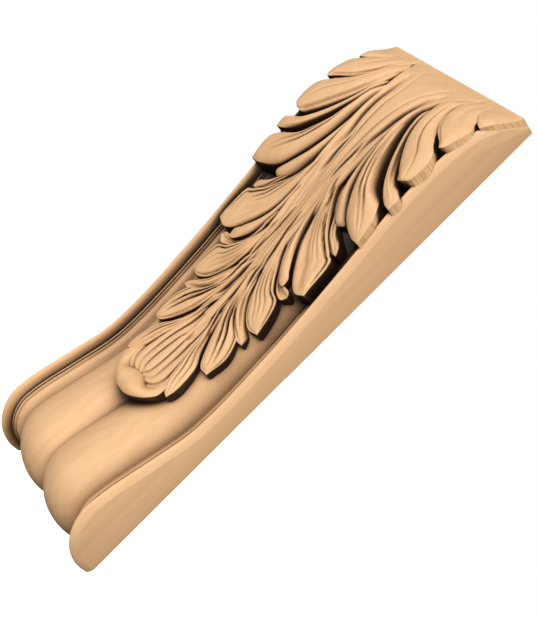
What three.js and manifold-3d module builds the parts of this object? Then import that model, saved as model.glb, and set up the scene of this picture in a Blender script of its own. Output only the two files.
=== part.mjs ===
import * as THREE from 'three';
import { mergeVertices } from 'three/addons/utils/BufferGeometryUtils.js';
import Module from 'manifold-3d';

// A carved wooden bracket: a panel with an S-shaped front, moulded lengthways, under one
// acanthus leaf. Its flat back is the plane y = 0, it faces -y and stands along z, with the
// origin in the middle of the back. Sizes are in millimetres.

// Driving sizes
const length = 300;
const width = 104.4;
const depth = 34.8;

// Moulding of the panel, measured inward from its outer face and outward from its profile
const beadWidth = 5.7;
const beadHeight = 4.0;
const beadFullness = 1.7;
const fineGrooveFromEdge = 8.7;
const fineGrooveWidth = 2.0;
const fineGrooveDepth = 0.9;
const stripFromEdge = 12.5;
const stripDrop = 2.1;
const valleyFromEdge = 17.1;
const valleyDrop = 4.5;
const rollRise = 2.8;
const centreValleyDrop = 2.4;

// Carving of the leaf
const lobeDome = 1.9;
const fullLobeWidth = 9;
const lobeVeinDepth = 1.1;
const outerSink = 4.5;
const outerRollWidth = 6.0;
const innerSink = 3.0;
const innerRollWidth = 2.6;
const rootSink = 2.5;
const ribDepth = 1.7;
const lipRise = 4.8;
const lipEdgeRise = 2.0;
const behindBack = 1.2;
const plainTopEnd = 15;

// How finely the curved forms are divided
const noseSteps = 7;
const profileStepsPerStation = 2;
const beadSteps = 6;
const rollSteps = 6;
const lobeSteps = 8;
const stemSteps = 22;

// Where a lobe is divided across, as shares from its outer to its inner edge, and which of
// these places is its vein
const lobeAcross = [0, 0.2, 0.45, 0.64, 0.84, 1];
const veinPlace = 3;
const lipAcross = [0, 0.12, 0.35, 0.65, 0.9, 1];

// Share of a lobe's length over which its root rises out of the midrib, and the shares between
// which the sinking of its outer and of its inner side runs out
const rootShare = 0.15;
const outerSinkFade = [0.05, 0.8];
const innerSinkFade = [0.7, 1.0];

// Largest share of a lobe's width that its outer and its inner roll take
const outerRollLimit = 0.6;
const innerRollLimit = 0.4;

// Side profile of the panel: share of the length above the lower end, share of the depth.
// Below the first station the nose is a quarter of an ellipse that starts on the back, a
// bead's height above the lower end, so that the bead ends flush with that end.
const profileStations = [
  [0.0935, 0.780], [0.132, 0.725], [0.200, 0.550], [0.272, 0.374], [0.323, 0.339],
  [0.404, 0.359], [0.520, 0.437], [0.636, 0.559], [0.750, 0.694], [0.836, 0.728],
  [0.909, 0.646], [0.956, 0.455], [1.000, 0.108], [1.060, -0.430],
];

// Height of the leaf along its midrib, and along the tips of its lobes, in the same shares
const midribHeight = [
  [0.220, 0.640], [0.300, 0.603], [0.400, 0.517], [0.500, 0.545], [0.600, 0.672],
  [0.660, 0.741], [0.740, 0.858], [0.800, 0.897], [0.860, 0.897], [0.900, 0.836],
  [0.950, 0.664], [1.000, 0.317], [1.040, 0.040],
];
const tipHeight = [
  [0.220, 0.560], [0.287, 0.532], [0.359, 0.456], [0.462, 0.483], [0.558, 0.632],
  [0.639, 0.700], [0.671, 0.814], [0.741, 0.933], [0.797, 1.000], [0.863, 0.943],
  [0.934, 0.717], [1.000, 0.317], [1.040, 0.040],
];

// Lobes of the right half of the leaf, from the top end down. A point is a share of the half
// width and a share of the length. The outer and the inner edge are smooth lines that start
// beside the midrib, pass through their points and meet in the tip. Some lobes lie lower than
// the rest of the leaf, and some roll down deeper on their inner side: [sink, roll width].
const lobes = [
  { outer: [[0.99, 1.030], [0.99, 0.955]],
    inner: [[0.71, 1.030], [0.68, 0.990], [0.71, 0.963], [0.82, 0.942]],
    tip: [0.96, 0.931] },
  { outer: [[0.75, 1.020], [0.80, 0.965], [0.89, 0.935], [0.97, 0.910], [0.96, 0.873]],
    inner: [[0.55, 1.020], [0.50, 0.943], [0.62, 0.898]],
    tip: [0.92, 0.863], flank: [4.5, 3.5] },
  { outer: [[0.57, 0.990], [0.62, 0.940], [0.75, 0.900], [0.97, 0.840], [0.97, 0.800]],
    inner: [[0.38, 0.957], [0.35, 0.932], [0.42, 0.875], [0.80, 0.787]],
    tip: [0.90, 0.787], flank: [7.0, 4.5] },
  { outer: [[0.43, 0.940], [0.49, 0.870], [0.80, 0.785], [0.91, 0.773], [0.99, 0.758]],
    inner: [[0.33, 0.930], [0.34, 0.895], [0.49, 0.825], [0.71, 0.766], [0.89, 0.744]],
    tip: [0.98, 0.741], lower: 1.0, flank: [4.5, 3.0] },
  { outer: [[0.34, 0.930], [0.39, 0.870], [0.49, 0.820], [0.69, 0.768], [0.95, 0.728]],
    inner: [[0.25, 0.920], [0.29, 0.828], [0.35, 0.773], [0.56, 0.701], [0.83, 0.673]],
    tip: [0.96, 0.671], flank: [5.0, 4.0] },
  { outer: [[0.29, 0.880], [0.30, 0.840], [0.34, 0.790], [0.42, 0.745], [0.63, 0.685]],
    inner: [[0.22, 0.880], [0.23, 0.798], [0.30, 0.728], [0.47, 0.679]],
    tip: [0.56, 0.674], flank: [6.0, 4.0] },
  { outer: [[0.30, 0.800], [0.36, 0.740], [0.47, 0.700], [0.59, 0.673], [0.75, 0.648]],
    inner: [[0.24, 0.800], [0.30, 0.740], [0.51, 0.662], [0.69, 0.637]],
    tip: [0.77, 0.637], lower: 2.4 },
  { outer: [[0.20, 0.780], [0.26, 0.730], [0.52, 0.660], [0.72, 0.633], [0.80, 0.620]],
    inner: [[0.14, 0.770], [0.16, 0.720], [0.26, 0.640], [0.43, 0.585], [0.68, 0.551]],
    tip: [0.82, 0.558] },
  { outer: [[0.19, 0.710], [0.27, 0.630], [0.46, 0.573], [0.53, 0.558], [0.53, 0.548]],
    inner: [[0.14, 0.710], [0.19, 0.635], [0.29, 0.580], [0.45, 0.547]],
    tip: [0.48, 0.545] },
  { outer: [[0.21, 0.650], [0.26, 0.610], [0.45, 0.555], [0.63, 0.545]],
    inner: [[0.17, 0.650], [0.20, 0.600], [0.32, 0.557], [0.45, 0.533], [0.59, 0.527]],
    tip: [0.65, 0.537], lower: 0.8 },
  { outer: [[0.14, 0.650], [0.20, 0.600], [0.32, 0.560], [0.46, 0.533], [0.61, 0.512]],
    inner: [[0.09, 0.640], [0.15, 0.550], [0.32, 0.482], [0.51, 0.458]],
    tip: [0.66, 0.462] },
  { outer: [[0.13, 0.560], [0.23, 0.510], [0.34, 0.485], [0.58, 0.444]],
    inner: [[0.09, 0.560], [0.17, 0.500], [0.34, 0.450], [0.50, 0.433]],
    tip: [0.58, 0.433], lower: 1.2 },
  { outer: [[0.08, 0.560], [0.17, 0.500], [0.32, 0.460], [0.52, 0.430], [0.59, 0.395]],
    inner: [[0.03, 0.550], [0.06, 0.500], [0.17, 0.430], [0.41, 0.363]],
    tip: [0.56, 0.358] },
  { outer: [[0.06, 0.480], [0.14, 0.430], [0.29, 0.380], [0.43, 0.345], [0.47, 0.305]],
    inner: [[0.02, 0.470], [0.13, 0.405], [0.28, 0.310], [0.32, 0.296]],
    tip: [0.45, 0.286] },
];

// Ribbed middle of the leaf, from which the lobes spring: where its grooves run on the right
// half, from the middle outward, as [share of the length, share of the half width]. The last
// one is also its side.
const stemGrooves = [
  [[0.262, 0.010], [0.283, 0.015], [0.290, 0.045], [0.304, 0.060], [0.317, 0.063],
    [0.345, 0.055], [0.385, 0.030], [0.500, 0.022], [0.800, 0.020], [1.040, 0.020]],
  [[0.262, 0.030], [0.276, 0.050], [0.282, 0.100], [0.289, 0.140], [0.304, 0.152],
    [0.321, 0.154], [0.350, 0.146], [0.375, 0.124], [0.400, 0.100], [0.430, 0.075],
    [0.500, 0.048], [0.640, 0.052], [0.760, 0.052], [0.840, 0.070], [0.880, 0.090],
    [0.920, 0.115], [0.955, 0.190], [1.040, 0.300]],
  [[0.262, 0.080], [0.272, 0.120], [0.278, 0.190], [0.287, 0.238], [0.299, 0.262],
    [0.313, 0.268], [0.330, 0.258], [0.350, 0.243], [0.375, 0.210], [0.400, 0.165],
    [0.440, 0.120], [0.520, 0.100], [0.600, 0.100], [0.700, 0.120], [0.780, 0.125],
    [0.840, 0.185], [0.880, 0.200], [0.920, 0.220], [0.950, 0.290], [1.040, 0.450]],
  [[0.262, 0.260], [0.275, 0.290], [0.290, 0.330], [0.305, 0.350], [0.330, 0.320],
    [0.400, 0.200], [0.500, 0.155], [0.600, 0.190], [0.700, 0.240], [0.800, 0.270],
    [0.900, 0.320], [0.950, 0.420], [1.040, 0.700]],
];
const stemBottom = 0.262;
const stemTop = 1.040;

// How much the divisions of the stem crowd towards its lower end, where its grooves turn in
const stemCrowding = 1.6;

// The grooves nearest the middle run out towards the top end, between these shares
const middleGrooveFade = [0.550, 0.800];

// Rolled lip at the lower end of the leaf, right half
const lip = {
  outer: [[-0.01, 0.237], [0.10, 0.238], [0.24, 0.248], [0.34, 0.263], [0.40, 0.280]],
  inner: [[-0.01, 0.283], [0.06, 0.281], [0.12, 0.278], [0.19, 0.269], [0.25, 0.268],
    [0.31, 0.283]],
  tip: [0.39, 0.300],
};

// Points closer together than this are one point
const mergeDistance = 1e-4;

const wasm = await Module();
wasm.setup();

// Value of a smooth curve through [where, value] stations
function valueAt(stations, where) {
  let i = 0;
  while (i < stations.length - 2 && where > stations[i + 1][0]) i += 1;
  const slopeAt = (k) => {
    const before = stations[Math.max(k - 1, 0)];
    const after = stations[Math.min(k + 1, stations.length - 1)];
    return (after[1] - before[1]) / (after[0] - before[0]);
  };
  const [start, startValue] = stations[i];
  const [end, endValue] = stations[i + 1];
  const span = end - start;
  const t = THREE.MathUtils.clamp((where - start) / span, 0, 1);
  const rise = endValue - startValue;
  const bend = slopeAt(i) * span * t * (1 - t) ** 2 - slopeAt(i + 1) * span * t * t * (1 - t);
  return startValue + rise * t * t * (3 - 2 * t) + bend;
}

// Height of the leaf over the back, in millimetres, at a share of the half width and length
function leafHeight(across, up) {
  const spread = THREE.MathUtils.smoothstep(Math.abs(across), 0.05, 0.92);
  const share = THREE.MathUtils.lerp(valueAt(midribHeight, up), valueAt(tipHeight, up), spread);
  return share * depth;
}

// How far the carving stands out at a share of the length: it fades to nothing at the top end
function carvingStrength(up) {
  return THREE.MathUtils.smoothstep((1 - up) * length, 0, plainTopEnd);
}

// Point in the bracket's own frame
function pointAt(across, up, height) {
  return [across * width / 2, -height, (up - 0.5) * length];
}

// Solid inside a closed geometry
function solidFrom(geometry) {
  const merged = mergeVertices(geometry, mergeDistance);
  return new wasm.Manifold(new wasm.Mesh({
    numProp: 3,
    vertProperties: merged.attributes.position.array,
    triVerts: new Uint32Array(merged.index.array),
  }));
}

// Solid inside a closed surface, whichever way its faces were wound
function solidInside(positions, triangles) {
  let volume = 0;
  for (const [a, b, c] of triangles) {
    const [p, q, r] = [a, b, c].map((k) => new THREE.Vector3(...positions[k]));
    volume += p.dot(q.cross(r));
  }
  const faces = volume > 0 ? triangles : triangles.map(([a, b, c]) => [a, c, b]);
  const geometry = new THREE.BufferGeometry();
  geometry.setAttribute('position', new THREE.Float32BufferAttribute(positions.flat(), 3));
  geometry.setIndex(faces.flat());
  return solidFrom(geometry);
}

// Solid under a grid of top points, with upright sides that end a little behind the back.
// A row of the grid whose points all coincide closes the solid in an upright edge.
function blockUnder(rows) {
  const across = rows[0].length;
  const top = rows.flat();
  const foot = top.map(([x, , z]) => [x, behindBack, z]);
  const positions = [...top, ...foot];
  const triangles = [];
  const same = (a, b) => {
    const gap = Math.hypot(...positions[a].map((v, k) => v - positions[b][k]));
    return gap < mergeDistance;
  };
  const addTriangle = (a, b, c) => {
    if (!same(a, b) && !same(b, c) && !same(a, c)) triangles.push([a, b, c]);
  };
  const addQuad = (a, b, c, d) => {
    addTriangle(a, b, c);
    addTriangle(a, c, d);
  };
  for (let i = 0; i < rows.length - 1; i += 1) {
    for (let j = 0; j < across - 1; j += 1) {
      const corner = i * across + j;
      const corners = [corner, corner + across, corner + across + 1, corner + 1];
      addQuad(...corners);
      addQuad(...corners.map((k) => k + top.length).reverse());
    }
  }
  const rim = [];
  for (let j = 0; j < across - 1; j += 1) rim.push(j);
  for (let i = 0; i < rows.length - 1; i += 1) rim.push(i * across + across - 1);
  for (let j = across - 1; j > 0; j -= 1) rim.push((rows.length - 1) * across + j);
  for (let i = rows.length - 1; i > 0; i -= 1) rim.push(i * across);
  rim.forEach((a, k) => {
    const b = rim[(k + 1) % rim.length];
    addQuad(a, b, b + top.length, a + top.length);
  });
  return solidInside(positions, triangles);
}

// Smooth line through points given in shares, down to a tip, in millimetres
function edgeCurve(points, tip) {
  const stations = [...points, tip].map(([across, up]) => {
    return new THREE.Vector3(across * width / 2, up * length, 0);
  });
  return new THREE.CatmullRomCurve3(stations, false, 'centripetal');
}

function mirrored(rows) {
  return rows.map((row) => row.map(([x, y, z]) => [-x, y, z]));
}

// Cross-section of the panel: [inward from the outer face, outward from the profile]
function mouldingStations() {
  const stations = [];
  for (let i = 0; i <= beadSteps; i += 1) {
    const fromCrest = -Math.cos(Math.PI * i / beadSteps);
    const height = beadHeight * (1 - Math.abs(fromCrest) ** beadFullness);
    stations.push([beadWidth / 2 * (1 + fromCrest), height]);
  }
  stations.push([fineGrooveFromEdge - fineGrooveWidth / 2, 0]);
  stations.push([fineGrooveFromEdge, -fineGrooveDepth]);
  stations.push([fineGrooveFromEdge + fineGrooveWidth / 2, -fineGrooveDepth / 4]);
  stations.push([stripFromEdge, -stripDrop]);
  const rollWidth = width / 2 - valleyFromEdge;
  for (let i = 0; i <= rollSteps; i += 1) {
    const share = i / rollSteps;
    const foot = THREE.MathUtils.lerp(-valleyDrop, -centreValleyDrop, share);
    const crest = rollRise - (-valleyDrop - centreValleyDrop) / 2;
    stations.push([valleyFromEdge + rollWidth * share, foot + crest * 4 * share * (1 - share)]);
  }
  return stations;
}

// Side profile of the panel as points [up, forward] in millimetres, with their outward normals
function profilePoints() {
  const corners = [];
  const [noseUp, noseForward] = profileStations[0];
  const lowest = beadHeight / length;
  for (let i = 0; i < noseSteps; i += 1) {
    const angle = Math.PI / 2 * i / noseSteps;
    const up = THREE.MathUtils.lerp(noseUp, lowest, Math.cos(angle));
    corners.push([up, noseForward * Math.sin(angle)]);
  }
  corners.push(...profileStations);
  const stations = corners.map(([up, out]) => new THREE.Vector3(up * length, out * depth, 0));
  const curve = new THREE.CatmullRomCurve3(stations, false, 'centripetal');
  const points = [];
  const spans = stations.length - 1;
  for (let i = 0; i < spans; i += 1) {
    const steps = i < noseSteps ? 1 : profileStepsPerStation;
    for (let k = 0; k < steps; k += 1) points.push((i + k / steps) / spans);
  }
  points.push(1);
  return points.map((t) => {
    const point = curve.getPoint(t);
    const along = curve.getTangent(t);
    return { up: point.x, forward: point.y, normalUp: -along.y, normalForward: along.x };
  });
}

// Panel: its profile, moved out and in along its normal as the moulding asks, lofted sideways
function panel() {
  const profile = profilePoints();
  const half = mouldingStations();
  const stations = half.map(([inward, out]) => [inward - width / 2, out]);
  const rightHalf = half.slice(0, -1).map(([inward, out]) => [width / 2 - inward, out]);
  stations.push(...rightHalf.reverse());
  const positions = [];
  for (const [x, out] of stations) {
    const ring = profile.map((p) => {
      return [x, -(p.forward + out * p.normalForward), p.up + out * p.normalUp - length / 2];
    });
    ring.unshift([x, depth, ring[0][2]]);
    ring.push([x, depth, ring[ring.length - 1][2]]);
    positions.push(...ring);
  }
  const count = profile.length + 2;
  const triangles = [];
  for (let i = 0; i < stations.length - 1; i += 1) {
    for (let j = 0; j < count; j += 1) {
      const next = (j + 1) % count;
      const [here, beside] = [i * count, (i + 1) * count];
      triangles.push([here + j, beside + j, beside + next]);
      triangles.push([here + j, beside + next, here + next]);
    }
  }
  const cap = positions.slice(0, count).map(([, y, z]) => new THREE.Vector2(z, -y));
  const capFaces = THREE.ShapeUtils.triangulateShape(cap, []);
  const last = (stations.length - 1) * count;
  const ringTurn = Math.sign(THREE.ShapeUtils.area(cap));
  for (const [a, b, c] of capFaces) {
    const faceTurn = Math.sign(THREE.ShapeUtils.area([cap[a], cap[b], cap[c]]));
    const near = faceTurn === ringTurn ? [a, b, c] : [a, c, b];
    const far = [...near].reverse();
    triangles.push(near, far.map((k) => k + last));
  }
  return solidInside(positions, triangles);
}

// Space in front of the back and below the flat top end, to which everything is trimmed
function trimmingBox() {
  const margin = depth;
  const box = new THREE.BoxGeometry(width, 2 * depth, length + margin);
  box.translate(0, -depth, -margin / 2);
  box.deleteAttribute('normal');
  box.deleteAttribute('uv');
  return solidFrom(box);
}

// One lobe: domed across, cut by a vein, sunk along its outer side under the lobe above it,
// and rolled down along its inner side
function lobeRows({ outer, inner, tip, lower = 0, flank = [innerSink, innerRollWidth] }) {
  const outerEdge = edgeCurve(outer, tip);
  const innerEdge = edgeCurve(inner, tip);
  const rows = [];
  for (let i = 0; i <= lobeSteps; i += 1) {
    const t = i / lobeSteps;
    const start = outerEdge.getPointAt(t);
    const end = innerEdge.getPointAt(t);
    const span = start.distanceTo(end);
    const thinness = Math.min(span / fullLobeWidth, 1);
    const rootDrop = rootSink * (1 - THREE.MathUtils.smoothstep(t, 0, rootShare));
    const outerRoll = Math.min(outerRollWidth, outerRollLimit * span);
    const innerRoll = Math.min(flank[1], innerRollLimit * span);
    const outerDepth = outerSink * (1 - THREE.MathUtils.smoothstep(t, ...outerSinkFade));
    const innerDepth = flank[0] * (1 - THREE.MathUtils.smoothstep(t, ...innerSinkFade));
    rows.push(lobeAcross.map((s, place) => {
      const point = start.clone().lerp(end, s);
      const dome = lobeDome * thinness * (1 - (2 * s - 1) ** 2) * Math.sqrt(1 - t ** 4);
      const vein = place === veinPlace ? lobeVeinDepth * Math.sin(Math.PI * t) : 0;
      const outward = i < lobeSteps ? Math.max(1 - s * span / outerRoll, 0) : 0;
      const inward = i < lobeSteps ? Math.max(1 - (1 - s) * span / innerRoll, 0) : 0;
      const outerDrop = outerDepth * outward ** 2;
      const innerDrop = innerDepth * (1 - Math.sqrt(1 - inward ** 2));
      const across = point.x / (width / 2);
      const up = point.y / length;
      const carving = dome - vein - outerDrop - innerDrop - rootDrop - lower;
      const height = leafHeight(across, up) + carving * carvingStrength(up);
      return pointAt(across, up, height);
    }));
  }
  return rows;
}

// Middle of the leaf, ribbed lengthways
function stemRows() {
  const rows = [];
  for (let i = 0; i <= stemSteps; i += 1) {
    const up = THREE.MathUtils.lerp(stemBottom, stemTop, (i / stemSteps) ** stemCrowding);
    const depthHere = ribDepth * carvingStrength(up);
    const middleDepth = depthHere * (1 - THREE.MathUtils.smoothstep(up, ...middleGrooveFade));
    const right = stemGrooves.map((line, j) => {
      return { across: valueAt(line, up), drop: j === 0 ? middleDepth : depthHere };
    });
    const left = right.map(({ across, drop }) => ({ across: -across, drop })).reverse();
    const grooves = [...left, ...right];
    const row = [];
    grooves.forEach(({ across, drop }, j) => {
      if (j > 0) {
        const crest = (across + grooves[j - 1].across) / 2;
        row.push(pointAt(crest, up, leafHeight(crest, up)));
      }
      row.push(pointAt(across, up, leafHeight(across, up) - drop));
    });
    rows.push(row);
  }
  return rows;
}

// Rolled lip that ends the leaf
function lipRows() {
  const outerEdge = edgeCurve(lip.outer, lip.tip);
  const innerEdge = edgeCurve(lip.inner, lip.tip);
  const rows = [];
  for (let i = 0; i <= lobeSteps; i += 1) {
    const t = i / lobeSteps;
    rows.push(lipAcross.map((s) => {
      const point = outerEdge.getPointAt(t).lerp(innerEdge.getPointAt(t), s);
      const across = point.x / (width / 2);
      const up = point.y / length;
      const foot = THREE.MathUtils.lerp(lipEdgeRise, -ribDepth, s);
      const swell = lipRise * Math.sqrt(Math.sin(Math.PI * s)) * Math.sqrt(1 - t * t);
      return pointAt(across, up, leafHeight(across, up) + foot + swell);
    }));
  }
  return rows;
}

// The whole bracket, carved from one piece of wood
function bracketGeometry() {
  let solid = panel().add(blockUnder(stemRows()));
  for (const rows of [...lobes.map(lobeRows), lipRows()]) {
    solid = solid.add(blockUnder(rows)).add(blockUnder(mirrored(rows)));
  }
  const mesh = solid.intersect(trimmingBox()).getMesh();
  const geometry = new THREE.BufferGeometry();
  geometry.setAttribute('position', new THREE.BufferAttribute(mesh.vertProperties, 3));
  geometry.setIndex(new THREE.BufferAttribute(mesh.triVerts, 1));
  return geometry;
}

const carvedWood = new THREE.MeshStandardMaterial({
  color: 0xd9ae7c,
  roughness: 0.6,
  metalness: 0,
});

const bracket = new THREE.Mesh(bracketGeometry(), carvedWood);
bracket.name = 'acanthus_bracket';

const model = new THREE.Group();
model.add(bracket);

export default model;
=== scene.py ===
import math

import bmesh
import bpy
import numpy as np
from mathutils import Matrix, Vector


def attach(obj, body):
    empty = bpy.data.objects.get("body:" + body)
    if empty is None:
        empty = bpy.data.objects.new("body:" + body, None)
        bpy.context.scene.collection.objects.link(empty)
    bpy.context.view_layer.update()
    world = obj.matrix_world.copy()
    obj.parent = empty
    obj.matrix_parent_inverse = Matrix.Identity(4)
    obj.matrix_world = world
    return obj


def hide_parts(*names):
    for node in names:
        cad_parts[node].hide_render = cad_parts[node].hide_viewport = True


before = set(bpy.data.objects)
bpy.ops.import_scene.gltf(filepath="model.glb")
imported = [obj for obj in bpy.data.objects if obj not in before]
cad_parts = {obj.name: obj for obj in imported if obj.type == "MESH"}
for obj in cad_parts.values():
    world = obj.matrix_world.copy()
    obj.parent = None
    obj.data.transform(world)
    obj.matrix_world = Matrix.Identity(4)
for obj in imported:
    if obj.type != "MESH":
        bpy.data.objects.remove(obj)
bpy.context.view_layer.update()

# Driving sizes of the bracket, in metres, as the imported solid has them
MM = 0.001
LENGTH = 300 * MM
WIDTH = 104.4 * MM
DEPTH = 34.8 * MM

# Moulding of the panel, inward from its outer face and outward from its profile: a bead, then
# stations in millimetres over a fine double line and a low strip to the valley, then a roll
BEAD_WIDTH = 5.7 * MM
BEAD_HEIGHT = 4.0 * MM
BEAD_FULLNESS = 1.7
DOUBLE_LINE_AND_STRIP = [
    (6.0, -1.1), (6.3, -1.3), (6.7, -0.9), (7.0, -1.0), (7.3, -1.7), (7.7, -1.5), (8.1, -1.25),
    (8.5, -1.6), (8.9, -2.5), (9.2, -2.7), (9.5, -2.3), (10.7, -2.7), (11.7, -3.1), (12.7, -3.8),
    (13.6, -4.5),
]
VALLEY_FROM_EDGE = 14.5 * MM
VALLEY_DROP = 5.0 * MM
ROLL_RISE = 2.8 * MM
ROLL_FULLNESS = 2.2
CENTRE_VALLEY_DROP = 2.4 * MM

# Carving of the leaf. A lobe narrower than the full width gets a lower dome and finer veins.
# DOME, SINK, FLANK and ROOT are in millimetres and are those of a lobe that names none.
DOME = 1.9
SINK = (4.5, 0.10, 0.80)
FLANK = (3.0, 2.6, 0.60)
ROOT = (2.5, 0.15)
FULL_LOBE_WIDTH = 9 * MM
FULL_VEIN_WIDTH = 5 * MM
OUTER_ROLL = 6.0 * MM
OUTER_ROLL_LIMIT = 0.6
FLANK_LIMIT = 0.4
RIM_RADIUS = 0.45 * MM
STEM_SIDE_SINK = 1.8 * MM
STEM_SIDE_ROLL = 2.5 * MM
LIP_RISE = 4.8 * MM
LIP_EDGE_RISE = 2.0 * MM
LIP_FOOT = 1.7 * MM
LIP_SWELL_FADE = (0.15, 0.95)
BEHIND_BACK = 1.2 * MM
PLAIN_TOP_END = 15 * MM
LEAF_SPREAD = (0.05, 0.92)

# Side profile of the panel: share of the length, share of the depth. The leaf's height along
# its middle and along the tips of its lobes is given in the same way.
PROFILE = [
    (0.0935, 0.780), (0.132, 0.725), (0.200, 0.550), (0.272, 0.374), (0.323, 0.339),
    (0.404, 0.359), (0.520, 0.437), (0.636, 0.559), (0.750, 0.694), (0.836, 0.728),
    (0.909, 0.646), (0.956, 0.455), (1.000, 0.108), (1.060, -0.430),
]
MIDRIB_HEIGHT = [
    (0.220, 0.640), (0.300, 0.603), (0.400, 0.517), (0.500, 0.545), (0.600, 0.672),
    (0.660, 0.741), (0.740, 0.858), (0.800, 0.897), (0.860, 0.897), (0.900, 0.836),
    (0.950, 0.664), (1.000, 0.317), (1.040, 0.040),
]
TIP_HEIGHT = [
    (0.220, 0.560), (0.287, 0.532), (0.359, 0.456), (0.462, 0.483), (0.558, 0.632),
    (0.639, 0.700), (0.671, 0.814), (0.741, 0.930), (0.797, 0.970), (0.863, 0.940),
    (0.934, 0.717), (1.000, 0.317), (1.040, 0.040),
]

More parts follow.
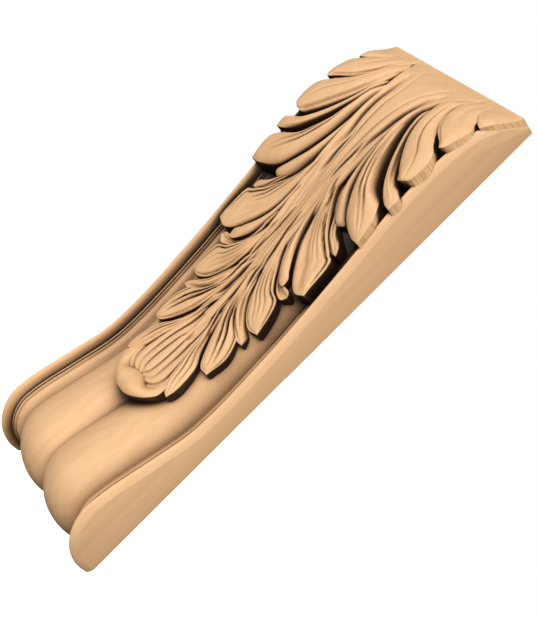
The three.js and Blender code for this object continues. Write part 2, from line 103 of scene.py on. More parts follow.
# Lobes of the right half of the leaf, from the top end down: the points of both edges from the
# root to the tip, as shares of the half width and of the length. The other figures are in
# millimetres and in shares of the lobe. raised: height above the leaf's own. dome: height of
# its middle. root: depth it sinks at its root, and where that has run out. sink: depth it sinks
# along its outer side, and from where to where that runs out. flank: drop and width of the
# rounding on its inner side, and from where that runs out. A vein: where it is measured from,
# its place as a share of the lobe or a distance from an edge, its start and end along the lobe,
# its depth and half width.
LOBES = [
    dict(outer=[(0.99, 1.030), (0.99, 0.955)],
         inner=[(0.71, 1.030), (0.68, 0.990), (0.71, 0.963), (0.82, 0.942)],
         tip=(0.96, 0.931), raised=0.8, veins=[]),
    dict(outer=[(0.75, 1.020), (0.80, 0.965), (0.89, 0.935), (0.97, 0.910), (0.96, 0.873)],
         inner=[(0.55, 1.020), (0.50, 0.943), (0.62, 0.898)],
         tip=(0.92, 0.863), raised=0.9, sink=(4.5, 0.1, 0.5), flank=(4.5, 3.5, 0.92),
         veins=[("inner", 3.0, 0.05, 1.10, 1.1, 0.75), ("share", 0.45, 0.05, 0.65, 0.7, 2.0)]),
    dict(outer=[(0.57, 0.990), (0.61, 0.940), (0.70, 0.893), (0.84, 0.864),
                (0.945, 0.846), (0.98, 0.825), (0.97, 0.800)],
         inner=[(0.38, 0.957), (0.35, 0.932), (0.42, 0.875), (0.80, 0.787)],
         tip=(0.90, 0.787), raised=0.5, sink=(4.5, 0.1, 0.6), flank=(7.0, 4.5, 0.85),
         veins=[("inner", 2.7, 0.05, 1.10, 1.1, 0.75), ("share", 0.42, 0.10, 0.98, 0.9, 0.5)]),
    dict(outer=[(0.43, 0.940), (0.49, 0.870), (0.80, 0.785), (0.91, 0.773), (0.99, 0.758)],
         inner=[(0.33, 0.930), (0.34, 0.895), (0.49, 0.825), (0.71, 0.766), (0.89, 0.744)],
         tip=(0.98, 0.741), raised=-1.0, sink=(4.5, 0.6, 1.0), flank=(4.5, 3.0, 0.70),
         veins=[("share", 0.34, 0.20, 0.95, 0.9, 0.9), ("share", 0.64, 0.20, 0.95, 0.9, 0.9)]),
    dict(outer=[(0.34, 0.930), (0.39, 0.870), (0.48, 0.816), (0.65, 0.766), (0.87, 0.735),
                (0.95, 0.708)],
         inner=[(0.25, 0.920), (0.29, 0.828), (0.35, 0.773), (0.56, 0.701), (0.83, 0.673)],
         tip=(0.96, 0.671), raised=0.6, sink=(6.5, 0.6, 0.84), flank=(4.0, 4.0, 0.75),
         veins=[("share", 0.38, 0.20, 0.93, 1.3, 0.6), ("share", 0.55, 0.20, 0.93, 1.3, 0.6)]),
    dict(outer=[(0.29, 0.880), (0.30, 0.840), (0.34, 0.790), (0.42, 0.745), (0.63, 0.685)],
         inner=[(0.22, 0.880), (0.23, 0.798), (0.30, 0.728), (0.47, 0.679)],
         tip=(0.56, 0.674), raised=-3.0, dome=4.0, sink=(2.0, 0.8, 1.0),
         flank=(0.8, 3.0, 0.60), veins=[]),
    dict(outer=[(0.30, 0.800), (0.36, 0.740), (0.47, 0.700), (0.59, 0.673), (0.75, 0.648)],
         inner=[(0.24, 0.800), (0.30, 0.740), (0.51, 0.662), (0.69, 0.637)],
         tip=(0.77, 0.637), raised=-1.4, root=(4.0, 0.80), sink=(6.0, 0.72, 0.95),
         veins=[("share", 0.45, 0.10, 0.98, 1.2, 0.7), ("inner", 1.2, 0.20, 1.05, 0.7, 0.4)]),
    dict(outer=[(0.20, 0.780), (0.26, 0.730), (0.52, 0.660), (0.72, 0.633), (0.80, 0.620)],
         inner=[(0.14, 0.770), (0.16, 0.720), (0.26, 0.640), (0.43, 0.585), (0.68, 0.551)],
         tip=(0.82, 0.558), raised=0, flank=(4.5, 4.5, 0.60),
         veins=[("outer", 2.6, 0.02, 1.00, 1.6, 0.7), ("share", 0.34, 0.15, 0.80, 1.1, 0.55),
                ("share", 0.47, 0.15, 0.75, 1.0, 0.55), ("share", 0.68, 0.25, 1.02, 2.0, 2.6)]),
    dict(outer=[(0.19, 0.710), (0.27, 0.630), (0.46, 0.573), (0.53, 0.558), (0.53, 0.548)],
         inner=[(0.14, 0.710), (0.19, 0.635), (0.29, 0.580), (0.45, 0.547)],
         tip=(0.48, 0.545), raised=0, veins=[]),
    dict(outer=[(0.21, 0.650), (0.26, 0.610), (0.45, 0.555), (0.63, 0.545)],
         inner=[(0.17, 0.650), (0.20, 0.600), (0.32, 0.557), (0.45, 0.533), (0.59, 0.527)],
         tip=(0.65, 0.537), raised=-0.8,
         veins=[("share", 0.50, 0.30, 1.10, 2.8, 1.7)]),
    dict(outer=[(0.14, 0.650), (0.20, 0.600), (0.32, 0.560), (0.455, 0.532), (0.595, 0.518),
                (0.638, 0.492)],
         inner=[(0.09, 0.640), (0.15, 0.550), (0.32, 0.482), (0.51, 0.458)],
         tip=(0.66, 0.462), raised=0, sink=(4.5, 0.10, 0.60),
         veins=[("outer", 2.0, 0.25, 1.10, 1.2, 0.6), ("share", 0.36, 0.10, 0.85, 1.1, 0.7),
                ("share", 0.53, 0.10, 0.85, 1.1, 0.7), ("share", 0.69, 0.15, 0.90, 1.1, 0.7),
                ("inner", 1.7, 0.25, 1.05, 1.0, 0.5)]),
    dict(outer=[(0.13, 0.560), (0.23, 0.510), (0.34, 0.485), (0.58, 0.444)],
         inner=[(0.09, 0.560), (0.14, 0.497), (0.22, 0.462), (0.31, 0.446), (0.50, 0.431)],
         tip=(0.605, 0.432), raised=-0.2, sink=(5.0, 0.7, 1.05),
         veins=[("inner", 2.2, 0.20, 1.00, 1.4, 0.9), ("share", 0.42, 0.10, 0.95, 1.2, 0.6)]),
    dict(outer=[(0.08, 0.560), (0.17, 0.500), (0.32, 0.460), (0.52, 0.430), (0.59, 0.395)],
         inner=[(0.03, 0.550), (0.06, 0.500), (0.17, 0.430), (0.41, 0.363)],
         tip=(0.56, 0.358), raised=0,
         veins=[("outer", 1.7, 0.25, 1.10, 1.0, 0.5), ("share", 0.38, 0.20, 0.90, 2.0, 0.7),
                ("share", 0.58, 0.15, 0.90, 2.0, 0.7), ("inner", 1.5, 0.30, 1.05, 0.9, 0.5)]),
    dict(outer=[(0.06, 0.480), (0.14, 0.430), (0.29, 0.380), (0.43, 0.345), (0.47, 0.305)],
         inner=[(0.02, 0.470), (0.13, 0.405), (0.28, 0.310), (0.32, 0.296)],
         tip=(0.45, 0.286), raised=0,
         veins=[("share", 0.26, 0.15, 0.98, 1.1, 0.6), ("share", 0.52, 0.15, 0.98, 1.2, 0.6),
                ("share", 0.77, 0.15, 0.98, 1.0, 0.6)]),
]

# Side of the ribbed middle of the leaf, right half: share of the length, share of the half
# width. Each of its grooves is a line of such points from its lower end up, with the depth and
# the half width in millimetres.
STEM_SIDE = [
    (0.262, 0.260), (0.275, 0.290), (0.290, 0.330), (0.305, 0.350), (0.330, 0.320),
    (0.400, 0.200), (0.500, 0.155), (0.600, 0.190), (0.700, 0.240), (0.800, 0.270),
    (0.900, 0.320), (0.950, 0.420), (1.040, 0.700),
]
STEM_GROOVES = [
    ([(0.270, 0.005), (0.283, 0.015), (0.290, 0.045), (0.304, 0.060), (0.317, 0.063),
      (0.345, 0.055), (0.370, 0.040), (0.400, 0.015)], 1.3, 0.55),
    ([(0.370, 0.050), (0.400, 0.055), (0.425, 0.050)], 1.7, 1.6),
    ([(0.270, 0.030), (0.276, 0.050), (0.282, 0.100), (0.289, 0.140), (0.304, 0.152),
      (0.321, 0.154), (0.350, 0.146), (0.375, 0.124), (0.400, 0.100), (0.430, 0.075),
      (0.470, 0.055), (0.500, 0.048), (0.560, 0.042)], 1.6, 0.6),
    ([(0.262, 0.080), (0.272, 0.120), (0.278, 0.190), (0.287, 0.238), (0.299, 0.262),
      (0.313, 0.268), (0.330, 0.258), (0.350, 0.243), (0.375, 0.210), (0.400, 0.165),
      (0.430, 0.125), (0.450, 0.110)], 1.6, 0.7),
    ([(0.440, 0.110), (0.480, 0.095), (0.520, 0.090), (0.560, 0.060)], 1.5, 1.1),
    ([(0.510, 0.155), (0.540, 0.130), (0.560, 0.112), (0.580, 0.095), (0.600, 0.075),
      (0.620, 0.062), (0.660, 0.052)], 1.8, 0.7),
    ([(0.600, 0.060), (0.640, 0.050), (0.680, 0.047), (0.720, 0.050), (0.760, 0.050),
      (0.800, 0.052), (0.840, 0.070), (0.880, 0.090), (0.920, 0.115), (0.955, 0.190),
      (0.990, 0.280)], 1.0, 0.55),
    ([(0.480, 0.016), (0.820, 0.018)], 0.8, 0.45),
    ([(0.470, 0.080), (0.500, 0.075), (0.560, 0.070), (0.620, 0.030)], 0.8, 0.5),
    ([(0.650, 0.085), (0.685, 0.090), (0.700, 0.082), (0.725, 0.080)], 1.3, 1.1),
    ([(0.720, 0.095), (0.745, 0.085), (0.760, 0.093), (0.785, 0.100), (0.815, 0.090)], 2.2, 0.8),
    ([(0.760, 0.180), (0.780, 0.165), (0.800, 0.148), (0.820, 0.160), (0.840, 0.185),
      (0.860, 0.198), (0.880, 0.210), (0.920, 0.230), (0.955, 0.290)], 2.6, 1.1),
    ([(0.560, 0.120), (0.620, 0.100), (0.680, 0.135), (0.740, 0.150)], 0.9, 0.6),
]
LIP = dict(outer=[(-0.01, 0.237), (0.10, 0.238), (0.24, 0.250), (0.34, 0.266), (0.39, 0.282)],
           inner=[(-0.01, 0.282), (0.05, 0.281), (0.12, 0.277), (0.19, 0.274), (0.26, 0.281),
                  (0.31, 0.299)],
           tip=(0.378, 0.302))

# How finely the shapes are divided. Lobes are finer at their edges, the middle at its foot.
EDGE_STEPS_PER_SPAN = 24
LOBE_STEPS = 61
LOBE_ACROSS = 42
LOBE_CROWDING = 0.08
STEM_STEPS = 190
STEM_ACROSS = 130
STEM_CROWDING = 1.6
BEAD_POINTS = 17
ROLL_POINTS = 33
NOSE_POINTS = 8
PROFILE_STEPS_PER_SPAN = 8
SHARP_ANGLE = 38

# Grain, which runs along the length, and cutter marks, which run from front to back: how fine
# they are each way, what the lowest noise gives of the light colour, and how deep they feel
GRAIN = dict(scale=(260, 260, 9), dark_end=0.4, clamp=True, bump=0.12)
CUTTER_MARKS = dict(scale=(1100, 10, 1100), dark_end=-1.5, clamp=False, bump=0.3)
NOISE_RANGE = (0.35, 0.60)
BUMP_HEIGHT = 0.15 * MM
ROUGHNESS = 0.6
SPECULAR = 0.25

# Colours of the wood, linear, and the painted shade that darkens them by the share of open sky
# where shade falls in hollows: in general, and more strongly on faces that are turned sideways,
# which are told by the Y part of where they face
WOOD_LIGHT = (0.84, 0.515, 0.270)
WOOD_DARK = (0.76, 0.450, 0.225)
HOLLOW_REACH = 30 * MM
# Painted shade in hollows: what is left of the colour at each share of open sky
HOLLOW_PAINTED_SHADE = [
    (0.45, (0.030, 0.020, 0.013)), (0.55, (0.12, 0.090, 0.068)), (0.64, (0.39, 0.34, 0.29)),
    (0.75, (0.74, 0.70, 0.66)), (0.90, (1.0, 1.0, 1.0)),
]
# Painted shade on walls turned sideways, darker than in other hollows: what is left of the colour
# at each share of open sky
WALL_PAINTED_SHADE = [
    (0.55, (0.025, 0.016, 0.010)), (0.68, (0.07, 0.050, 0.035)), (0.80, (0.34, 0.29, 0.24)),
    (0.93, (1.0, 1.0, 1.0)),
]

# Range of the Y part of where a face looks, over which it turns from open face to sideways wall
# for the painted shade
SIDEWAYS = (-0.55, -0.25)

# Camera as it stood for the photograph: focal length in pixels, its turn and its place in
# lengths of the bracket from the middle of the lower end
CAMERA_FOCAL = 1084.8
CAMERA_TURN = (1.10923, 1.11839, -0.00355)
CAMERA_PLACE = (1.33709, -1.28318, 0.50993)
PHOTO_HEIGHT = 622

# Soft lamps a long way off: direction to each, its strength and how many degrees wide it is
LAMPS = [
    ("key", (0.20, -0.95, 0.22), 2.4, 30),
    ("fill", (1.0, -0.25, 0.35), 1.45, 40),
    ("all_round", (0.3, -0.9, 0.3), 0.6, 170),
    ("behind", (-0.6, 0.75, 0.25), 1.8, 50),
]

# Plain floor, far below the bracket
FLOOR_REACH = 12
FLOOR_PLACE = -0.6
FLOOR_COLOUR = (0.9, 0.9, 0.9, 1)
WHITE = (1, 1, 1, 1)


# Value of a smooth curve through (where, value) stations, at every entry of an array
def value_at(stations, where):
    places, values = np.array(stations).T
    slopes = np.empty(len(places))
    slopes[1:-1] = (values[2:] - values[:-2]) / (places[2:] - places[:-2])
    slopes[0] = (values[1] - values[0]) / (places[1] - places[0])
    slopes[-1] = (values[-1] - values[-2]) / (places[-1] - places[-2])
    i = np.clip(np.searchsorted(places, where) - 1, 0, len(places) - 2)
    span = places[i + 1] - places[i]
    t = np.clip((where - places[i]) / span, 0, 1)
    bend = slopes[i] * span * t * (1 - t) ** 2 - slopes[i + 1] * span * t * t * (1 - t)
    return values[i] + (values[i + 1] - values[i]) * t * t * (3 - 2 * t) + bend


# Rises smoothly from 0 to 1 between two values
def smoothstep(value, low, high):
    t = np.clip((value - low) / (high - low), 0, 1)
    return t * t * (3 - 2 * t)


# Smooth line through points, a centripetal spline, with some points in each span
def smooth_line(points, per_span):
    points = np.array(points)
    before, after = 2 * points[0] - points[1], 2 * points[-1] - points[-2]
    padded = np.concatenate([[before], points, [after]])
    line = []
    for i in range(len(points) - 1):
        p0, p1, p2, p3 = padded[i:i + 4]
        gaps = [math.sqrt(math.hypot(*(b - a))) for a, b in ((p0, p1), (p1, p2), (p2, p3))]
        k0, k1, k2, k3 = np.concatenate([[0], np.cumsum(gaps)])
        u = (k1 + (k2 - k1) * np.arange(per_span) / per_span)[:, None]
        a1 = p0 + (p1 - p0) * (u - k0) / (k1 - k0)
        a2 = p1 + (p2 - p1) * (u - k1) / (k2 - k1)
        a3 = p2 + (p3 - p2) * (u - k2) / (k3 - k2)
        b1 = a1 + (a2 - a1) * (u - k0) / (k2 - k0)
        b2 = a2 + (a3 - a2) * (u - k1) / (k3 - k1)
        line.append(b1 + (b2 - b1) * (u - k1) / (k2 - k1))
    return np.concatenate([*line, points[-1:]])


# Height of the leaf's own surface, from its middle to the tips of its lobes
def leaf_height(across, up):
    spread = smoothstep(np.abs(across), *LEAF_SPREAD)
    middle = value_at(MIDRIB_HEIGHT, up)
    return DEPTH * (middle + (value_at(TIP_HEIGHT, up) - middle) * spread)


# The carving fades to nothing at the top end
def carving_strength(up):
    return smoothstep((1 - up) * LENGTH, 0, PLAIN_TOP_END)


def points_at(across, up, height):
    return np.stack([across * WIDTH / 2, -height, (up - 0.5) * LENGTH], axis=-1)


def mesh_object(name, corners, faces, materials):
    mesh = bpy.data.meshes.new(name)
    mesh.from_pydata(np.asarray(corners).tolist(), [], [list(map(int, f)) for f in faces])
    mesh.update()
    piece = bpy.data.objects.new(name, mesh)
    bpy.context.scene.collection.objects.link(piece)
    for material in materials:
        mesh.materials.append(material)
    return piece


# Merges coinciding corners, drops faces without area and turns all faces outward
def close_up(piece):
    work = bmesh.new()
    work.from_mesh(piece.data)
    bmesh.ops.remove_doubles(work, verts=work.verts, dist=1e-7)
    bmesh.ops.dissolve_degenerate(work, edges=work.edges, dist=1e-8)
    bmesh.ops.triangulate(work, faces=work.faces)
    bmesh.ops.recalc_face_normals(work, faces=work.faces)
    work.to_mesh(piece.data)
    work.free()


# Closed block under a grid of top points, with upright sides that end a little behind the
# back. A last row whose points coincide closes it in an upright edge.
def block_under(name, rows, materials):
    steps, across = rows.shape[:2]
    top = rows.reshape(-1, 3)
    index = np.arange(steps * across).reshape(steps, across)
    upper = np.stack([index[:-1, :-1], index[1:, :-1], index[1:, 1:], index[:-1, 1:]], axis=-1)
    upper = upper.reshape(-1, 4)
    inner, outer = index[1:-1, -1], index[-2:0:-1, 0]
    closing = index[-1, -1:] if np.ptp(top[index[-1]], axis=0).max() < 1e-6 else index[-1, ::-1]
    rim = np.concatenate([index[0], inner, closing, outer])
    foot = top[rim] * (1, 0, 1) + (0, BEHIND_BACK, 0)
    below = np.arange(len(rim)) + len(top)
    walls = np.stack([rim, np.roll(rim, -1), np.roll(below, -1), below], axis=1)
    faces = [*upper, *walls, below[::-1]]
    piece = mesh_object(name, np.concatenate([top, foot]), faces, materials)
    wall_flags = np.zeros(len(faces), dtype=np.int32)
    wall_flags[len(upper):] = 1
    piece.data.polygons.foreach_set("material_index", wall_flags)
    close_up(piece)
    return piece


# Drop of a rounded rim at a distance from the edge
def rim_drop(distance):
    inside = np.clip(1 - distance / RIM_RADIUS, 0, 1)
    return RIM_RADIUS * (1 - np.sqrt(1 - inside ** 2))


# Edge of a lobe from its root to its tip, at shares of its own length
def edge(points, tip, shares):
    line = smooth_line([*points, tip], EDGE_STEPS_PER_SPAN)
    steps = np.hypot(*(np.diff(line, axis=0) * (WIDTH / 2, LENGTH)).T)
    run = np.concatenate([[0], np.cumsum(steps)]) / steps.sum()
    return np.stack([np.interp(shares, run, line[:, k]) for k in (0, 1)], axis=1)


# Grid between two edges that meet in a tip, with the places t along and s across it and the
# distance from edge to edge
def lobe_grid(form):
    t = np.linspace(0, 1, LOBE_STEPS + 1)
    even = np.linspace(0, 1, LOBE_ACROSS + 1)
    s = even - LOBE_CROWDING * np.sin(2 * np.pi * even)
    outer = edge(form["outer"], form["tip"], t)
    inner = edge(form["inner"], form["tip"], t)
    grid = outer[:, None] + (inner - outer)[:, None] * s[None, :, None]
    span = np.hypot(*((inner - outer) * (WIDTH / 2, LENGTH)).T)[:, None]
    return grid[..., 0], grid[..., 1], t[:, None], s[None, :], span


# How near a place is to an edge: 1 at the edge, 0 at a width that stays a share of the span
def nearness(distance, width, limit, span):
    return np.clip(1 - distance / np.minimum(width, limit * span + 1e-9), 0, 1)


# Upper side of a lobe: a dome that sinks at its root and sides, with its veins cut into it
def lobe_rows(lobe):
    across, up, t, s, span = lobe_grid(lobe)
    from_outer, from_inner = s * span, (1 - s) * span
    thin = np.clip(span / FULL_LOBE_WIDTH, 0, 1)
    dome = lobe.get("dome", DOME) * MM
    height = dome * thin * (1 - (2 * s - 1) ** 2) * np.sqrt(1 - t ** 4) + lobe["raised"] * MM
    sink, sink_start, sink_end = lobe.get("sink", SINK)
    outward = nearness(from_outer, OUTER_ROLL, OUTER_ROLL_LIMIT, span)
    height = height - sink * MM * (1 - smoothstep(t, sink_start, sink_end)) * outward ** 2
    flank, flank_width, flank_end = lobe.get("flank", FLANK)
    inward = nearness(from_inner, flank_width * MM, FLANK_LIMIT, span)
    flank *= MM * (1 - smoothstep(t, flank_end, 1.0))
    height = height - flank * (1 - np.sqrt(1 - inward ** 2))
    root, root_end = lobe.get("root", ROOT)
    height = height - root * MM * (1 - smoothstep(t, 0, root_end))
    for measured, place, start, end, depth, half_width in lobe["veins"]:
        strength = np.sin(np.pi * np.clip((t - start) / (end - start), 0, 1)) ** 0.6
        wide = np.clip(span / FULL_VEIN_WIDTH, 0, 1) * np.sqrt(1 - t ** 8)
        if measured == "share":
            away = (s - place) * span
        elif measured == "outer":
            away = from_outer - place * MM * wide
        else:
            away = from_inner - place * MM * wide
        height = height - depth * MM * wide * strength * np.exp(-(away / half_width / MM) ** 2)
    height = height * carving_strength(up) - rim_drop(np.minimum(from_outer, from_inner))
    return points_at(across, up, leaf_height(across, up) + height)


# Section of a groove at a distance from its middle: narrow and deep in a wide shallow one
def groove_section(away, half_width):
    ratio = away / (half_width * MM)
    return 0.75 * np.exp(-ratio ** 2) + 0.4 * np.exp(-(ratio / 3) ** 2)


# Upper side of the ribbed middle, with its grooves cut into it
def stem_rows():
    lowest, highest = STEM_SIDE[0][0], STEM_SIDE[-1][0]
    up = lowest + (highest - lowest) * np.linspace(0, 1, STEM_STEPS + 1) ** STEM_CROWDING
    side = value_at(STEM_SIDE, up)[:, None]
    across = side * np.linspace(-1, 1, STEM_ACROSS + 1)
    drop = np.zeros(across.shape)
    for line, depth, half_width in STEM_GROOVES:
        middle = value_at(line, up)[:, None]
        slope = np.gradient(middle[:, 0] * WIDTH / 2, up * LENGTH)[:, None]
        away = (np.abs(across) - middle) * WIDTH / 2 / np.sqrt(1 + slope ** 2)
        t = (up - line[0][0]) / (line[-1][0] - line[0][0])
        strength = np.clip(np.sin(np.pi * np.clip(t, 0, 1)), 0, 1) ** 0.5
        drop += depth * MM * strength[:, None] * groove_section(away, half_width)
    from_side = (side - np.abs(across)) * WIDTH / 2
    drop += STEM_SIDE_SINK * np.clip(1 - from_side / STEM_SIDE_ROLL, 0, 1) ** 2
    drop *= carving_strength(up)[:, None]
    up = np.broadcast_to(up[:, None], across.shape)
    return points_at(across, up, leaf_height(across, up) - drop)


# Upper side of the rolled lip, right half: a crest that runs out in a low arm
def lip_rows():
    across, up, t, s, span = lobe_grid(LIP)
    foot = LIP_EDGE_RISE * (1 - s) * (1 - t ** 3) - LIP_FOOT * s * (1 - t)
    swell = LIP_RISE * np.clip(np.sin(np.pi * s), 0, 1) ** 0.7
    swell = swell * (1 - smoothstep(t, *LIP_SWELL_FADE))
    return points_at(across, up, leaf_height(across, up) + foot + swell)


# Cross-section of the panel from its outer face to the middle: inward, outward
def moulding():
    from_crest = -np.cos(np.linspace(0, math.pi, BEAD_POINTS))
    bead = BEAD_HEIGHT * (1 - np.abs(from_crest) ** BEAD_FULLNESS)
    stations = list(zip(BEAD_WIDTH / 2 * (1 + from_crest), bead))
    stations += [(inward * MM, outward * MM) for inward, outward in DOUBLE_LINE_AND_STRIP]
    stations.append((VALLEY_FROM_EDGE, -VALLEY_DROP))
    roll_width = WIDTH / 2 - VALLEY_FROM_EDGE
    crest = ROLL_RISE + (VALLEY_DROP + CENTRE_VALLEY_DROP) / 2
    for share in np.linspace(0, 1, ROLL_POINTS)[1:]:
        foot = -VALLEY_DROP + (VALLEY_DROP - CENTRE_VALLEY_DROP) * share
        rise = crest * (1 - abs(2 * share - 1) ** ROLL_FULLNESS)
        stations.append((VALLEY_FROM_EDGE + roll_width * share, foot + rise))
    return np.array(stations)


# Side profile of the panel; its nose is a quarter of an ellipse that starts on the back
def profile_points():
    nose_up, nose_out = PROFILE[0]
    lowest = BEAD_HEIGHT / LENGTH
    angles = np.linspace(0, math.pi / 2, NOSE_POINTS)[:-1]
    nose = [(nose_up + (lowest - nose_up) * math.cos(a), nose_out * math.sin(a)) for a in angles]
    return smooth_line(np.array(nose + PROFILE) * (LENGTH, DEPTH), PROFILE_STEPS_PER_SPAN)


# Panel: its profile moved along its normal as the moulding asks, swept sideways
def panel_piece(materials):
    profile = profile_points()
    along = np.gradient(profile, axis=0)
    along /= np.hypot(*along.T)[:, None]
    normal = np.stack([-along[:, 1], along[:, 0]], axis=1)
    half = moulding()
    x = np.concatenate([half[:, 0] - WIDTH / 2, (WIDTH / 2 - half[:-1, 0])[::-1]])
    out = np.concatenate([half[:, 1], half[:-1, 1][::-1]])
    up = profile[None, :, 0] + out[:, None] * normal[None, :, 0]
    forward = profile[None, :, 1] + out[:, None] * normal[None, :, 1]
    behind = np.full((len(x), 1), -DEPTH)
    up = np.concatenate([up[:, :1], up, up[:, -1:]], axis=1)
    forward = np.concatenate([behind, forward, behind], axis=1)
    corners = np.stack([np.broadcast_to(x[:, None], up.shape), -forward, up - LENGTH / 2], axis=-1)
    index = np.arange(up.size).reshape(up.shape)
    after = np.roll(index, -1, axis=1)
    quads = np.stack([index[:-1], index[1:], after[1:], after[:-1]], axis=-1).reshape(-1, 4)
    faces = [*quads, index[0][::-1], index[-1]]
    piece = mesh_object("panel", corners.reshape(-1, 3), faces, materials)
    close_up(piece)
    return piece


# Space in front of the back and below the top end, to which everything is trimmed
def trimming_box():
    corners = [(x, y, z) for x in (-WIDTH / 2, WIDTH / 2) for y in (-2 * DEPTH, 0)
               for z in (-LENGTH, LENGTH / 2)]
    faces = [(0, 1, 3, 2), (4, 6, 7, 5), (0, 4, 5, 1), (2, 3, 7, 6), (0, 2, 6, 4), (1, 5, 7, 3)]
    piece = mesh_object("trimming_box", corners, faces, [])
    close_up(piece)
    return piece


# Joins a piece to another or trims it by another, which is then gone
def combine(piece, other, operation):
    joining = piece.modifiers.new(operation, "BOOLEAN")
    joining.operation = operation
    joining.solver = "MANIFOLD"
    joining.object = other
    dependencies = bpy.context.evaluated_depsgraph_get()
    result = bpy.data.meshes.new_from_object(piece.evaluated_get(dependencies))
    piece.modifiers.clear()
    piece.data = result
    bpy.data.objects.remove(other)


def add_node(tree, kind, **settings):
    made = tree.nodes.new(kind)
    for name, value in settings.items():
        setattr(made, name, value)
    return made


def mix_socket(sockets, name, kind):
    return next(s for s in sockets if s.name == name and s.type == kind)


# Noise stretched as a pattern asks, and the tint of the wood that it makes
def add_pattern(tree, place, pattern):
    stretch = add_node(tree, "ShaderNodeMapping")
    stretch.inputs["Scale"].default_value = pattern["scale"]
    tree.links.new(place.outputs["Object"], stretch.inputs["Vector"])
    noise = add_node(tree, "ShaderNodeTexNoise")
    noise.inputs["Scale"].default_value = 1.0
    noise.inputs["Detail"].default_value = 3
    tree.links.new(stretch.outputs["Vector"], noise.inputs["Vector"])
    contrast = add_node(tree, "ShaderNodeMapRange", clamp=pattern["clamp"])
    for end, value in zip(("From Min", "From Max"), NOISE_RANGE):
        contrast.inputs[end].default_value = value
    contrast.inputs["To Min"].default_value = pattern["dark_end"]
    tree.links.new(noise.outputs["Fac"], contrast.inputs["Value"])
    tint = add_node(tree, "ShaderNodeMix", data_type="RGBA", clamp_factor=False)
    mix_socket(tint.inputs, "A", "RGBA").default_value = (*WOOD_DARK, 1)
    mix_socket(tint.inputs, "B", "RGBA").default_value = (*WOOD_LIGHT, 1)
    tree.links.new(contrast.outputs["Result"], mix_socket(tint.inputs, "Factor", "VALUE"))
    return noise, tint


# Painted shade by how open a place is, darker in hollows and stronger on faces that are turned
# sideways
def add_painted_shade(tree, place):
    hollow = add_node(tree, "ShaderNodeAmbientOcclusion", samples=16)
    hollow.inputs["Distance"].default_value = HOLLOW_REACH
    facing = add_node(tree, "ShaderNodeSeparateXYZ")
    tree.links.new(place.outputs["Normal"], facing.inputs["Vector"])
    steep = add_node(tree, "ShaderNodeMapRange")
    for end, value in zip(("From Min", "From Max"), SIDEWAYS):
        steep.inputs[end].default_value = value
    tree.links.new(facing.outputs["Y"], steep.inputs["Value"])
    painted_shade = add_node(tree, "ShaderNodeMix", data_type="RGBA")
    tree.links.new(steep.outputs["Result"], mix_socket(painted_shade.inputs, "Factor", "VALUE"))
    for side, stations in (("A", HOLLOW_PAINTED_SHADE), ("B", WALL_PAINTED_SHADE)):
        ramp = add_node(tree, "ShaderNodeValToRGB")
        for share, _ in stations[1:-1]:
            ramp.color_ramp.elements.new(share)
        for element, (share, colour) in zip(ramp.color_ramp.elements, stations):
            element.position = share
            element.color = (*colour, 1)
        tree.links.new(hollow.outputs["AO"], ramp.inputs["Fac"])
        tree.links.new(ramp.outputs["Color"], mix_socket(painted_shade.inputs, side, "RGBA"))
    return painted_shade


# Pale wood with a pattern, with shade painted on darker where the carving is hollow
def wood_material(name, pattern):
    material = bpy.data.materials.new(name)
    material.use_nodes = True
    tree = material.node_tree
    shader = tree.nodes["Principled BSDF"]
    shader.inputs["Roughness"].default_value = ROUGHNESS
    shader.inputs["Specular IOR Level"].default_value = SPECULAR
    place = add_node(tree, "ShaderNodeTexCoord")
    noise, tint = add_pattern(tree, place, pattern)
    painted_shade = add_painted_shade(tree, place)
    # The wood's tint multiplied by the painted shade
    colour = add_node(tree, "ShaderNodeMix", data_type="RGBA", blend_type="MULTIPLY")
    mix_socket(colour.inputs, "Factor", "VALUE").default_value = 1.0
    for side, source in (("A", tint), ("B", painted_shade)):
        tree.links.new(mix_socket(source.outputs, "Result", "RGBA"),
                       mix_socket(colour.inputs, side, "RGBA"))
    tree.links.new(mix_socket(colour.outputs, "Result", "RGBA"), shader.inputs["Base Color"])
    bump = add_node(tree, "ShaderNodeBump")
    bump.inputs["Strength"].default_value = pattern["bump"]
    bump.inputs["Distance"].default_value = BUMP_HEIGHT
    tree.links.new(noise.outputs["Fac"], bump.inputs["Height"])
    tree.links.new(bump.outputs["Normal"], shader.inputs["Normal"])
    return material


# The whole bracket, carved from one piece of wood
def carved_bracket():
    materials = [wood_material("carved_wood", GRAIN),
                 wood_material("carved_wood_sides", CUTTER_MARKS)]
    bracket = panel_piece(materials)
    bracket.name = "carved_bracket"
    combine(bracket, block_under("stem", stem_rows(), materials), "UNION")
    for number, rows in enumerate([*map(lobe_rows, LOBES), lip_rows()]):
        left = rows * (-1, 1, 1)
        combine(bracket, block_under(f"right_{number}", rows, materials), "UNION")
        combine(bracket, block_under(f"left_{number}", left, materials), "UNION")
    combine(bracket, trimming_box(), "INTERSECT")
    mesh = bracket.data
    mesh.polygons.foreach_set("use_smooth", np.ones(len(mesh.polygons), dtype=bool))
    mesh.set_sharp_from_angle(angle=math.radians(SHARP_ANGLE))
    return bracket


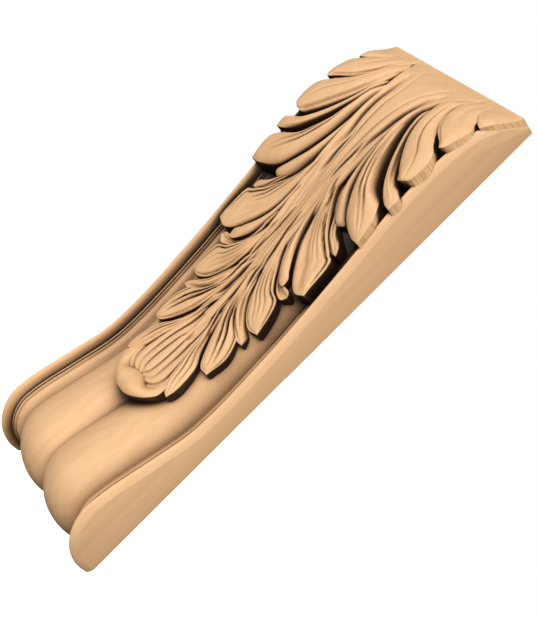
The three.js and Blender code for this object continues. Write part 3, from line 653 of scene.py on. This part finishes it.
def add_camera():
    data = bpy.data.cameras.new("camera")
    data.sensor_width = 36
    data.lens = CAMERA_FOCAL * data.sensor_width / PHOTO_HEIGHT
    data.clip_start = 0.01
    camera = bpy.data.objects.new("camera", data)
    bpy.context.scene.collection.objects.link(camera)
    turn = Vector(CAMERA_TURN)
    to_camera = Matrix.Rotation(turn.length, 3, turn.normalized())
    place = Vector(CAMERA_PLACE) * LENGTH - Vector((0, 0, LENGTH / 2))
    looking = to_camera.transposed() @ Matrix(((1, 0, 0), (0, -1, 0), (0, 0, -1)))
    camera.matrix_world = Matrix.Translation(place) @ looking.to_4x4()
    bpy.context.scene.camera = camera


# Plain white all round, seen by the camera but not lighting the wood, which the lamps do
def add_floor():
    corners = [(x * FLOOR_REACH, y * FLOOR_REACH, FLOOR_PLACE)
               for x, y in ((-1, -1), (1, -1), (1, 1), (-1, 1))]
    material = bpy.data.materials.new("pale_floor")
    material.use_nodes = True
    shader = material.node_tree.nodes["Principled BSDF"]
    shader.inputs["Base Color"].default_value = FLOOR_COLOUR
    shader.inputs["Roughness"].default_value = 1.0
    shader.inputs["Emission Color"].default_value = WHITE
    shader.inputs["Emission Strength"].default_value = 1.0
    floor = mesh_object("floor", corners, [(0, 1, 2, 3)], [material])
    floor.visible_diffuse = False
    floor.visible_glossy = False
    world = bpy.data.worlds.new("studio")
    bpy.context.scene.world = world
    world.use_nodes = True
    world.node_tree.nodes["Background"].inputs["Color"].default_value = WHITE
    world.cycles_visibility.diffuse = False
    world.cycles_visibility.glossy = False


def add_lamps():
    for name, direction, strength, width in LAMPS:
        lamp = bpy.data.lights.new(name, "SUN")
        lamp.energy = strength
        lamp.angle = math.radians(width)
        stand = bpy.data.objects.new(name, lamp)
        stand.rotation_euler = Vector(direction).to_track_quat("Z", "Y").to_euler()
        bpy.context.scene.collection.objects.link(stand)


bracket = carved_bracket()
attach(bracket, "root")
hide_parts("acanthus_bracket")
add_floor()
add_lamps()
add_camera()
bpy.context.scene.view_settings.view_transform = "Standard"
